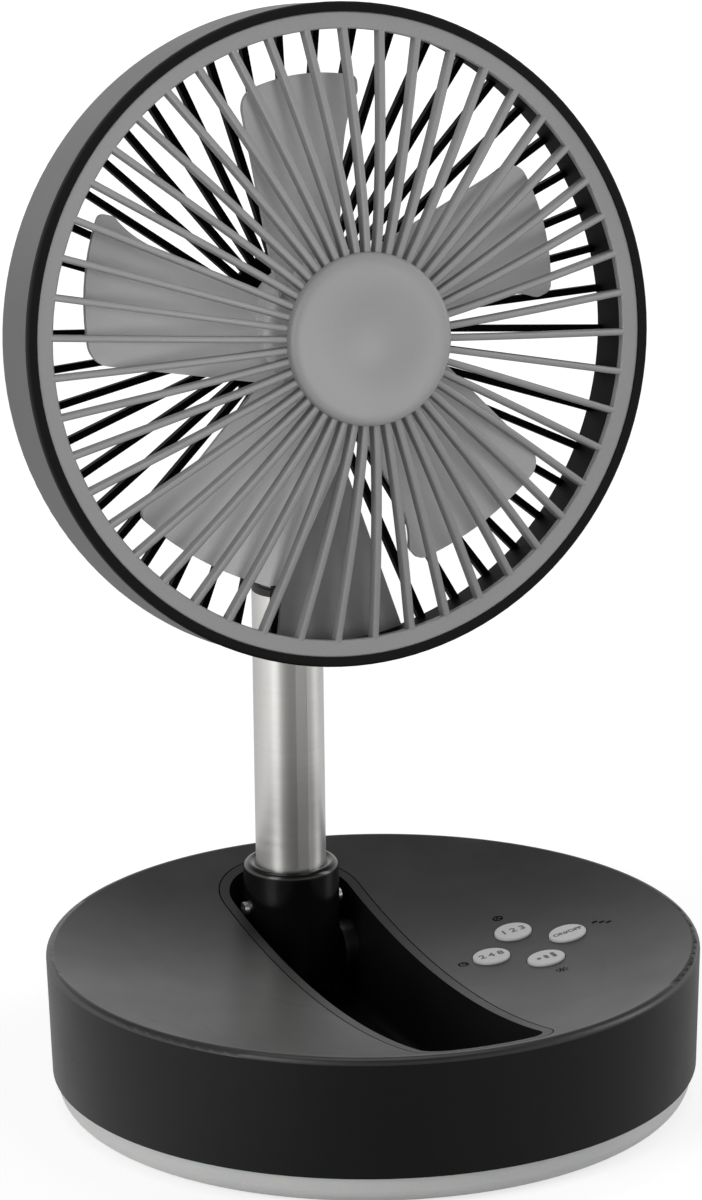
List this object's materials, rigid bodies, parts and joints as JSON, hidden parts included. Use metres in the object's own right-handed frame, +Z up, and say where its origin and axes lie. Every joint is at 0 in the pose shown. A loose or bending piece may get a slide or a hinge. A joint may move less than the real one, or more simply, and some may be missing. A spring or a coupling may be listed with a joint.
{
  "type": "folding table fan",
  "caption": "Portable camping fan: caged fan head on a telescopic pole that folds down into a round base with a light ring.",
  "frame": {"origin": "centre of the round base, on the plane of its rubber feet", "axes": "+Z up along the standing pole, the fan faces -Y, the pole stands at the +Y side, buttons at +X"},
  "size_m": [0.2004, 0.2, 0.3343],
  "materials": {
    "cover_black": "satin",
    "wall_black": "satin",
    "trough_black": "satin",
    "light_ring": "translucent satin",
    "bottom_black": "fine grain",
    "rubber": "matte",
    "screw_steel": "machined",
    "cell_sleeve": "shrink sleeve",
    "cradle": "moulded",
    "board": "circuit board",
    "switch": "moulded",
    "lamp": "lamp",
    "inlet_steel": "plated",
    "pin_steel": "turned",
    "pin_black": "black oxide",
    "washer": "moulded",
    "button_grey": "satin",
    "socket_black": "gloss",
    "pole_steel": "satin",
    "bush_black": "satin",
    "hinge_black": "satin",
    "barrel": "satin",
    "shell_grey": "satin",
    "ring_rubber": "matte",
    "grille_grey": "satin",
    "cap_grey": "satin gloss",
    "rear_black": "satin",
    "spine_grey": "satin",
    "motor_steel": "plated",
    "magnet": "sintered",
    "rotor_grey": "satin",
    "armature": "wound copper"
  },
  "bodies": {
    "base": {"side_wall": "wall_black", "top_cover": "cover_black", "pole_trough": "trough_black", "light_ring": "light_ring", "light_board": "board", "light_leds": "lamp", "bottom_plate": "bottom_black", "rubber_feet": "rubber", "base_screws": "screw_steel", "battery_cells": "cell_sleeve", "battery_cradle": "cradle", "control_board": "board", "tact_switches": "switch", "charging_port": "inlet_steel", "pole_pin": "pin_black", "pivot_washers": "washer"},
    "pole": {"pole_socket": "socket_black", "collar_ring": "socket_black", "socket_screws": "screw_steel", "outer_tube": "pole_steel", "top_bush_0": "bush_black"},
    "tube_1": {"inner_tube_1": "pole_steel", "slide_bush_1": "bush_black", "top_bush_1": "bush_black"},
    "tube_2": {"inner_tube_2": "pole_steel", "slide_bush_2": "bush_black", "top_bush_2": "bush_black"},
    "tube_3": {"inner_tube_3": "pole_steel", "slide_bush_3": "bush_black", "neck_clevis": "hinge_black", "tilt_pin": "pin_steel"},
    "neck": {"tilt_barrel": "barrel"},
    "head": {"rear_shell": "shell_grey", "rubber_ring": "ring_rubber", "front_grille": "grille_grey", "dome_cap": "cap_grey", "rear_grille": "rear_black", "spine_panel": "spine_grey", "motor_can": "motor_steel", "motor_bearings": "pin_steel", "motor_magnets": "magnet", "motor_screws": "screw_steel", "rear_cap": "rear_black", "head_bracket": "hinge_black", "bracket_screws": "screw_steel"},
    "rotor": {"fan_rotor": "rotor_grey", "motor_shaft": "pin_steel", "motor_armature": "armature"},
    "speed_key": {"button_speed": "button_grey"},
    "power_key": {"button_power": "button_grey"},
    "timer_key": {"button_timer": "button_grey"},
    "light_key": {"button_light": "button_grey"}
  },
  "joints": [
    {"name": "pole_fold", "type": "hinge", "parent": "base", "child": "pole", "pos_m": [0, 0.067, 0.022], "axis": [1, 0, 0], "range_deg": [0, 90]},
    {"name": "tube_1_slide", "type": "slide", "parent": "pole", "child": "tube_1", "axis": [0, 0, -1], "range_m": [-0.085, 0]},
    {"name": "tube_2_slide", "type": "slide", "parent": "tube_1", "child": "tube_2", "axis": [0, 0, -1], "range_m": [-0.085, 0]},
    {"name": "tube_3_slide", "type": "slide", "parent": "tube_2", "child": "tube_3", "axis": [0, 0, -1], "range_m": [-0.085, 0]},
    {"name": "head_fold", "type": "hinge", "parent": "tube_3", "child": "neck", "pos_m": [0, 0.065, 0.15735], "axis": [1, 0, 0], "range_deg": [-168.5, 0]},
    {"name": "head_tilt", "type": "hinge", "parent": "neck", "child": "head", "pos_m": [0, 0.065, 0.15735], "axis": [1, 0, 0], "range_deg": [-60, 11.5]},
    {"name": "fan_spin", "type": "hinge", "parent": "head", "child": "rotor", "pos_m": [0, 0.0193, 0.236], "axis": [0, -0.9799, 0.1994], "continuous": true},
    {"name": "speed_press", "type": "slide", "parent": "base", "child": "speed_key", "axis": [0, 0, 1], "range_m": [-0.0008, 0], "stiffness_N_per_m": 900, "springref_m": 0.0005},
    {"name": "power_press", "type": "slide", "parent": "base", "child": "power_key", "axis": [0, 0, 1], "range_m": [-0.0008, 0], "stiffness_N_per_m": 900, "springref_m": 0.0005},
    {"name": "timer_press", "type": "slide", "parent": "base", "child": "timer_key", "axis": [0, 0, 1], "range_m": [-0.0008, 0], "stiffness_N_per_m": 900, "springref_m": 0.0005},
    {"name": "light_press", "type": "slide", "parent": "base", "child": "light_key", "axis": [0, 0, 1], "range_m": [-0.0008, 0], "stiffness_N_per_m": 900, "springref_m": 0.0005}
  ],
  "couplings": [
    {"joint": "head_fold", "follows": "pole_fold", "ratio": -1.8722}
  ]
}
